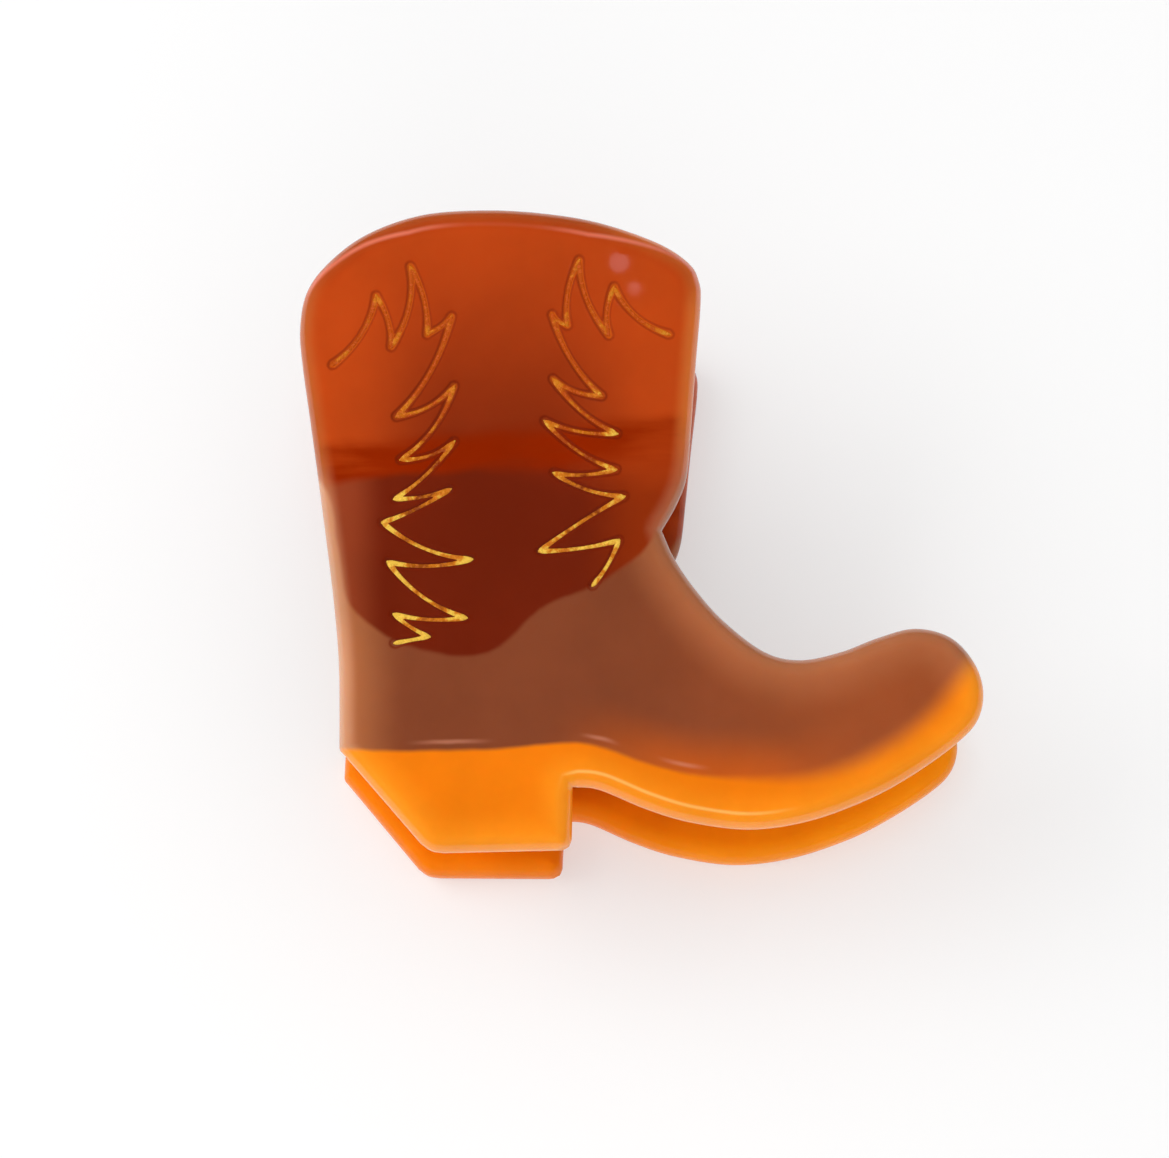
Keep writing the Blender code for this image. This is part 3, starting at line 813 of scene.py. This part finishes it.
def shaft_colour(n, x, y, wander):
    """Orange-red at the top and sides, deepening to maroon, with a saturated band across that is
    painted shade of the hinge seen through the plate.
    """
    middle = n.between(n.math("ABSOLUTE", x), 5.0, 19.0, 1.0, 0.0)
    deep = n.times(n.ramp(y, 29.0, -1.0), middle)
    red = n.mix(deep, linear(190, 71, 21), linear(122, 36, 14))
    maroon = n.mix(n.between(x, -17.5, -12.5), linear(148, 63, 34), linear(112, 33, 13))
    maroon = n.mix(n.between(x, 8.0, 17.0), maroon, linear(146, 48, 12))
    band_line = n.math("MULTIPLY_ADD", x, 0.09, 2.2)
    lift = n.math("ADD", n.math("SUBTRACT", y, band_line), n.times(wander, 2.0))
    fade = n.between(x, -4.0, 10.0, -2.8, -7.0)
    streak = n.between(n.streaks(), 0.35, 0.65, 0.6, 1.0)
    under = n.between(x, 4.0, 17.0, -4.0, -8.0)
    full = n.between(x, 4.0, 17.0, -2.2, 0.4)
    # Painted shade of the hinge behind the plate, streaked along x.
    band = n.times(n.between(lift, 2.8, 0.6), n.between(lift, under, full))
    band = n.times(band, streak)
    red = n.mix(n.times(band, 0.95), red, linear(142, 34, 0))
    return n.mix(n.between(lift, fade, -1.6), maroon, red)


def vamp_colour(n, x, inset, sole):
    """Smoky brown, warmer towards the toe and just above the sole, with a milky painted
    reflection at its edge.
    """
    brown = n.mix(n.between(x, 10.0, 46.0), linear(132, 68, 41), linear(158, 79, 42))
    # Painted reflection: the edge is lightened to a milky brown.
    edge = n.between(inset, 0.5, 6.5, 0.75, 0.0)
    brown = n.mix(n.times(edge, n.between(x, 2.0, 16.0)), brown, linear(182, 108, 68))
    above_sole = n.between(sole, 0.0, 6.0, 1.0, 0.0)
    toe_side = n.times(n.between(x, 4.0, 22.0), n.between(x, 42.0, 26.0))
    warm = n.times(above_sole, toe_side)
    brown = n.mix(n.times(warm, 0.85), brown, linear(202, 92, 28))
    heel_side = n.between(x, -17.5, -10.2, 1.0, 0.0)
    return n.mix(n.times(heel_side, 0.82), brown, linear(182, 110, 68))


def sole_colour(n, x, inset, front):
    """Amber, painted lighter at the rim as the edge's glow; the rear plate's amber is set for the
    shade it lies in, and painted lighter towards the toe.
    """
    # Painted light: the lighter rim colours stand in for the edge's glow, and the rear plate's
    # own amber for the shade it lies in.
    rim = linear(248, 146, 28) if front else linear(238, 122, 8)
    face = linear(238, 125, 14) if front else linear(232, 112, 3)
    amber = n.mix(n.between(inset, 0.5, 5.0), rim, face)
    return amber if front else n.mix(n.between(x, 2.0, 30.0), amber, linear(255, 146, 14))


def rim_light_colour(n, x, y, in_shaft, above):
    """Painted light on the rounded edge: a milky reflection at the back of the boot, orange at
    the ankle, light on the sole.
    """
    shaft = n.mix(n.between(y, 2.0, -6.0), linear(178, 98, 44), linear(210, 150, 112))
    ankle = n.mix(n.between(y, -3.0, 6.0), linear(204, 122, 84), linear(238, 136, 60))
    shaft = n.mix(n.between(x, 8.0, 17.0), shaft, ankle)
    vamp = n.mix(n.between(x, -14.0, 2.0), linear(214, 160, 124), linear(178, 112, 74))
    return n.mix(above, linear(249, 152, 36), n.mix(in_shaft, vamp, shaft))


def arched_top(n, colour, x, y, inset):
    """Painted shade in a line inside the boot's arched top, and a pale painted highlight that
    follows it.
    """
    top = n.between(y, 17.0, 22.0)
    # Painted shade along the rounded top edge.
    shade_line = n.times(around(n, inset, 1.2, 1.6), top)
    colour = n.mix(n.times(shade_line, 0.45), colour, linear(160, 46, 6))
    from_side = n.ramp(n.math("ABSOLUTE", n.math("ADD", x, 0.3)), 21.0, 10.0)
    # A painted highlight where the rounded top edge meets the flat face.
    highlight_line = around(n, n.math("SUBTRACT", inset, n.times(from_side, 1.5)), 0.35, 0.42)
    ends = n.between(n.math("ABSOLUTE", x), 3.0, 12.0, 0.1, 0.85)
    return n.mix(n.times(n.times(highlight_line, ends), top), colour, linear(226, 124, 98))


def sole_lip_highlight(n, colour, x, inset, sole):
    """A painted highlight along the inner edge of the sole's rounded rim."""
    lip_highlight = n.times(around(n, inset, 1.75, 0.32), n.between(x, 6.0, 9.0))
    lip_highlight = n.times(lip_highlight, n.between(x, 34.0, 26.0))
    lip_highlight = n.times(lip_highlight, n.between(sole, -1.0, -2.5))
    return n.mix(n.times(lip_highlight, 0.8), colour, linear(255, 192, 104))


def painted_sole_glints(n, colour, x, sole):
    """Three painted glints: pale stretches just above the seam between sole and vamp."""
    glint = n.math("MAXIMUM", around(n, x, -5.5, 5.5), around(n, x, 20.2, 3.4))
    glint = n.math("MAXIMUM", glint, around(n, x, 11.0, 2.6))
    glint = n.times(around(n, sole, 0.95, 0.40), glint)
    return n.mix(n.times(glint, 0.5), colour, linear(214, 140, 112))


def engraved(n, colour, y):
    """Painted shade at the engraving's edges, and orange inside its upper strokes."""
    # Painted shade where the engraving's walls fall away.
    edge = around(n, n.attribute("cut"), 0.12, 0.42)
    edge = n.times(edge, n.between(y, 4.0, 16.0, 0.7, 0.42))
    colour = n.mix(edge, colour, linear(112, 30, 8))
    inner = n.times(n.between(n.attribute("cut"), 0.2, 0.6), n.between(y, 2.0, 14.0))
    return n.mix(n.times(inner, 0.8), colour, linear(206, 92, 18))


def acetate_plate(name, front):
    """Three laminated colours of translucent acetate, deeper in the middle than at the rim, where
    painted light lightens the rounded edge; painted highlights and shade follow the edges and the
    engraving.

    The front plate is the polished one, with the painted lip highlight and the stronger painted
    rim light; the rear plate's edge gets only faint painted rim light, and its amber is set for
    the shade it lies in.
    """
    n = Nodes(name)
    x, y = n.axis(0), n.axis(1)
    inset = n.attribute("inset")
    wander = n.math("SUBTRACT", n.noise(9.0, 3.0), 0.5)
    shaft = n.math("ADD", n.attribute("shaft"), n.times(wander, 1.2))
    sole = n.math("ADD", n.attribute("sole"), n.times(wander, 0.8))
    brown = vamp_colour(n, x, inset, sole)
    if not front:
        sole = n.math("SUBTRACT", sole, n.between(x, -10.0, -14.0, 0.0, 3.0))

    in_shaft = n.between(shaft, -0.35, 0.35)
    soft = n.between(x, 18.0, 42.0, 0.35, 1.6)
    above = n.between(sole, n.times(soft, -1.0), soft)
    colour = n.mix(in_shaft, brown, shaft_colour(n, x, y, wander))
    colour = n.mix(above, sole_colour(n, x, inset, front), colour)
    # Painted light: the rounded edge is lightened towards its outline, strongly on the front
    # plate and faintly on the rear.
    rim = n.times(n.between(inset, 0.2, 2.4, 1.0, 0.0), 0.75 if front else 0.12)
    colour = n.mix(rim, colour, rim_light_colour(n, x, y, in_shaft, above))
    colour = arched_top(n, colour, x, y, inset)
    if front:
        colour = sole_lip_highlight(n, colour, x, inset, sole)
    colour = painted_sole_glints(n, colour, x, sole)
    colour = engraved(n, colour, y)
    cloud = n.between(n.noise(14.0, 4.0, 0.6), 0.3, 0.7, 0.93, 1.06)
    polish = n.between(n.noise(4.0, 3.0), 0.3, 0.7, 0.03, 0.05)
    n.surface(
        Base_Color=n.mix(1.0, colour, cloud, "MULTIPLY"),
        Roughness=n.math("ADD", polish, n.between(inset, 0.0, 1.6, 0.20, 0.0)),
        IOR=1.48,
        Subsurface_Weight=0.35,
        Subsurface_Radius=(1.0, 0.35, 0.12),
        Subsurface_Scale=0.0022,
        Specular_IOR_Level=0.5 if front else 0.2,
        Coat_Weight=0.12 if front else 0.0,
        Coat_Roughness=0.04,
    )
    n.bump(n.noise(11.0, 2.0), 0.015, 0.5)
    return n.material


def acetate_plain(name, colour, dark):
    """One colour of acetate for the combs and ears, with faint streaks and moulding waves."""
    n = Nodes(name)
    n.surface(
        Base_Color=n.mix(n.between(n.noise(5.0, 4.0, 0.6), 0.3, 0.75), colour, dark),
        Roughness=n.between(n.noise(0.5, 4.0), 0.3, 0.7, 0.09, 0.15),
        IOR=1.48,
        Subsurface_Weight=0.35,
        Subsurface_Radius=(1.0, 0.4, 0.12),
        Subsurface_Scale=0.002,
        Specular_IOR_Level=0.25,
    )
    n.bump(n.noise(2.5, 3.0), 0.04, 0.5)
    return n.material


def gold_paint(name):
    """Gold rubbed into the engraving, with painted highlights at the corners and low down, dull
    elsewhere.
    """
    n = Nodes(name)
    y = n.axis(1)
    patch = n.between(n.noise(2.0, 2.0), 0.36, 0.64, -0.30, 0.30)
    highlight_fleck = n.between(n.noise(0.5, 4.0, 0.65), 0.42, 0.62, -0.13, 0.13)
    # Painted highlight: brightest at the corners and low down, dimmer higher up, with painted
    # flecks of shine.
    shine = n.math("MULTIPLY_ADD", n.attribute("painted_gleam"), 0.62, 0.22)
    shine = n.math("ADD", shine, n.between(y, -8.0, 1.0, 0.42, 0.0))
    shine = n.math("ADD", shine, n.between(y, 2.0, 13.0, 0.0, -0.40))
    shine = n.math("ADD", shine, n.math("ADD", patch, highlight_fleck))
    dull = n.mix(n.between(y, -4.0, 8.0), linear(140, 52, 12), linear(204, 86, 16))
    colour = n.mix(n.between(shine, 0.0, 0.6), dull, linear(222, 126, 24))
    colour = n.mix(n.between(shine, 0.6, 1.1), colour, linear(255, 205, 76))
    n.surface(
        Base_Color=colour,
        Metallic=0.2,
        Roughness=n.between(n.noise(0.4, 4.0), 0.3, 0.7, 0.16, 0.34),
        Coat_Weight=0.5,
        Coat_Roughness=0.05,
    )
    n.bump(n.noise(0.7, 4.0, 0.6), 0.16, 0.9)
    return n.material


def steel(name):
    """Bright drawn wire: a fine grain on plain steel."""
    n = Nodes(name)
    grain = n.noise(0.25, 6.0, 0.7)
    n.surface(
        Base_Color=n.mix(grain, (0.50, 0.49, 0.47, 1), (0.70, 0.69, 0.67, 1)),
        Metallic=1.0,
        Roughness=n.between(grain, 0.3, 0.7, 0.20, 0.34),
    )
    n.bump(grain, 0.02, 0.4)
    return n.material


def link_object(name, mesh, mat, matrix):
    mesh.materials.append(mat)
    obj = in_scene(name, mesh)
    obj.matrix_world = matrix
    return obj


def build_jaw(jaw, side, hinge_frame, matrix, phase, mats):
    """One plate with its gold, comb and ears; the ears follow the hinge's own frame."""
    body = f"{jaw}_jaw"
    plate = link_object(f"{jaw}_plate", plate_mesh(f"{jaw}_plate", side),
                        mats[f"{jaw}_plate"], matrix)
    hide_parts(f"{jaw}_shaft", f"{jaw}_vamp", f"{jaw}_sole")
    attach(plate, body)
    for label, run in (("left", STITCH_LEFT), ("right", STITCH_RIGHT)):
        mesh = gold_mesh(f"{jaw}_gold_{label}", strokes_of(run), side)
        gold = link_object(f"{jaw}_gold_{label}", mesh, mats["gold"], matrix)
        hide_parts(f"{jaw}_stitch_{label}")
        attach(gold, body)
    teeth = link_object(f"{jaw}_teeth", comb_mesh(f"{jaw}_teeth", side, phase), mats["comb"],
                        matrix)
    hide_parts(f"{jaw}_comb")
    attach(teeth, body)
    for label in ("left", "right"):
        node = f"{jaw}_lug_{label}"
        ear = lug_object(f"{jaw}_ear_{label}", side, node, mats["lug"], hinge_frame)
        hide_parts(node)
        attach(ear, body)


def build_hinge(mats):
    """The pin, its collars and the spring."""
    place = Matrix.Translation(AXIS)
    reach = (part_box("hinge_pin")[1].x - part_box("hinge_pin")[0].x) / 2 / MM
    length, fall = PIN_DOME
    dome = [
        (reach - length + length * math.sin(a), PIN_RADIUS - fall * (1 - math.cos(a)))
        for a in (math.pi / 2 * k / 6 for k in range(7))
    ]
    profile = [(-x, r) for x, r in dome[::-1]] + dome
    pin = link_object("pin", revolve("pin", profile), mats["steel"], place)
    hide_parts("hinge_pin")
    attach(pin, "rear_jaw")
    for label in ("left", "right"):
        node = f"pin_collar_{label}"
        low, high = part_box(node)
        radius = (high.z - low.z) / 2 / MM
        x0, x1 = low.x / MM, high.x / MM
        edge, soft = COLLAR_EDGE, COLLAR_SOFT
        hole = PIN_RADIUS + COLLAR_PLAY
        ring = [(x0, hole), (x0, radius - edge), (x0 + soft, radius - soft),
                (x0 + edge, radius), (x1 - edge, radius), (x1 - soft, radius - soft),
                (x1, radius - edge), (x1, hole), (x0, hole)]
        collar = link_object(f"collar_{label}", revolve(f"collar_{label}", ring),
                             mats["steel"], place)
        collar.data.set_sharp_from_angle(angle=math.radians(50))
        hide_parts(node)
        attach(collar, "rear_jaw")
    wire = spring_object(mats["steel"])
    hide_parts("torsion_spring")
    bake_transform(wire)


def add_stage():
    mesh = bpy.data.meshes.new("floor")
    bm = bmesh.new()
    bmesh.ops.create_circle(bm, cap_ends=True, segments=96, radius=4.0)
    bm.to_mesh(mesh)
    bm.free()
    n = Nodes("light_table")
    n.surface(
        Base_Color=(0.50, 0.50, 0.50, 1),
        Emission_Color=(1, 1, 1, 1),
        Emission_Strength=FLOOR_GLOW,
        Roughness=0.8,
        Specular_IOR_Level=0.1,
    )
    n.bump(n.noise(1.2, 4.0), 0.01, 0.2)
    mesh.materials.append(n.material)
    floor = in_scene("floor", mesh)
    floor.location.z = -0.05 * MM


def add_lamp(name, place, aim, size, power, shape="SQUARE"):
    data = bpy.data.lights.new(name, "AREA")
    data.shape = shape
    data.size = size
    data.energy = power
    lamp = in_scene(name, data)
    lamp.location = place
    lamp.rotation_mode = "QUATERNION"
    lamp.rotation_quaternion = (Vector(place) - Vector(aim)).to_track_quat("Z", "Y")
    return lamp


def view_back():
    """From the clip towards the camera."""
    return Vector((0, -math.cos(VIEW_ELEVATION), math.sin(VIEW_ELEVATION)))


def view_place(front):
    """Where the camera stands."""
    centre = front @ (Vector((*VIEW_CENTRE, (OUTER + INNER) / 2)) * MM)
    return centre + view_back() * VIEW_DISTANCE * MM


def add_reflected_lamp(name, front, spot, radius):
    """A small round lamp whose reflection the camera finds at this spot of the front plate."""
    seen = front @ (Vector((*spot, OUTER)) * MM)
    normal = front.to_3x3() @ Vector((0, 0, 1))
    away = (seen - view_place(front)).normalized().reflect(normal)
    power = REFLECTED_POWER * math.pi * (radius * MM) ** 2
    lamp = add_lamp(name, seen + away * REFLECTED_AT, seen, 2 * radius * MM, power, "DISK")
    lamp.data.color = (1.0, 0.72, 0.80)
    lamp.visible_camera = False


def add_world():
    """A white room with a dark ceiling, so that a flat face seen from above stays clear."""
    world = bpy.data.worlds.new("studio")
    bpy.context.scene.world = world
    world.use_nodes = True
    tree = world.node_tree
    glow = tree.nodes["Background"]
    place = tree.nodes.new("ShaderNodeTexCoord")
    split = tree.nodes.new("ShaderNodeSeparateXYZ")
    ramp = tree.nodes.new("ShaderNodeMapRange")
    ramp.interpolation_type = "SMOOTHSTEP"
    tree.links.new(place.outputs["Generated"], split.inputs[0])
    tree.links.new(split.outputs[2], ramp.inputs[0])
    for i, value in enumerate(CEILING, start=1):
        ramp.inputs[i].default_value = value
    tree.links.new(ramp.outputs[0], glow.inputs["Strength"])


def add_camera(front):
    data = bpy.data.cameras.new("camera")
    data.sensor_width = 36.0
    data.lens = data.sensor_width * VIEW_DISTANCE / VIEW_WIDTH
    camera = in_scene("camera", data)
    camera.location = view_place(front)
    camera.rotation_mode = "QUATERNION"
    camera.rotation_quaternion = view_back().to_track_quat("Z", "Y")
    data.clip_start = 0.01
    data.clip_end = 20
    bpy.context.scene.camera = camera


def main():
    front = Matrix.Translation(AXIS) @ Matrix.Rotation(SPLAY, 4, "X")
    rest = Matrix.Translation(AXIS)
    shift = Matrix.Translation((REAR_SHIFT[0] * MM, REAR_SHIFT[1] * MM, 0))
    rear = rest @ shift @ Matrix.Rotation(REAR_TWIST, 4, "Z")
    mats = {
        "front_plate": acetate_plate("front_acetate", True),
        "rear_plate": acetate_plate("rear_acetate", False),
        "comb": acetate_plain("comb_acetate", linear(244, 134, 22), linear(232, 112, 8)),
        "lug": acetate_plain("ear_acetate", linear(176, 52, 14), linear(140, 34, 8)),
        "gold": gold_paint("gold_leaf"),
        "steel": steel("spring_steel"),
    }
    build_jaw("front", 1, front, front, 0.5, mats)
    build_jaw("rear", -1, rest, rear, 0.0, mats)
    build_hinge(mats)
    add_stage()
    add_world()
    for lamp in LAMPS:
        add_lamp(*lamp).visible_glossy = False
    for label, spot, radius in REFLECTED_LAMPS:
        add_reflected_lamp(label, front, spot, radius)
    add_camera(front)
    bpy.context.scene.view_settings.view_transform = "Standard"


main()
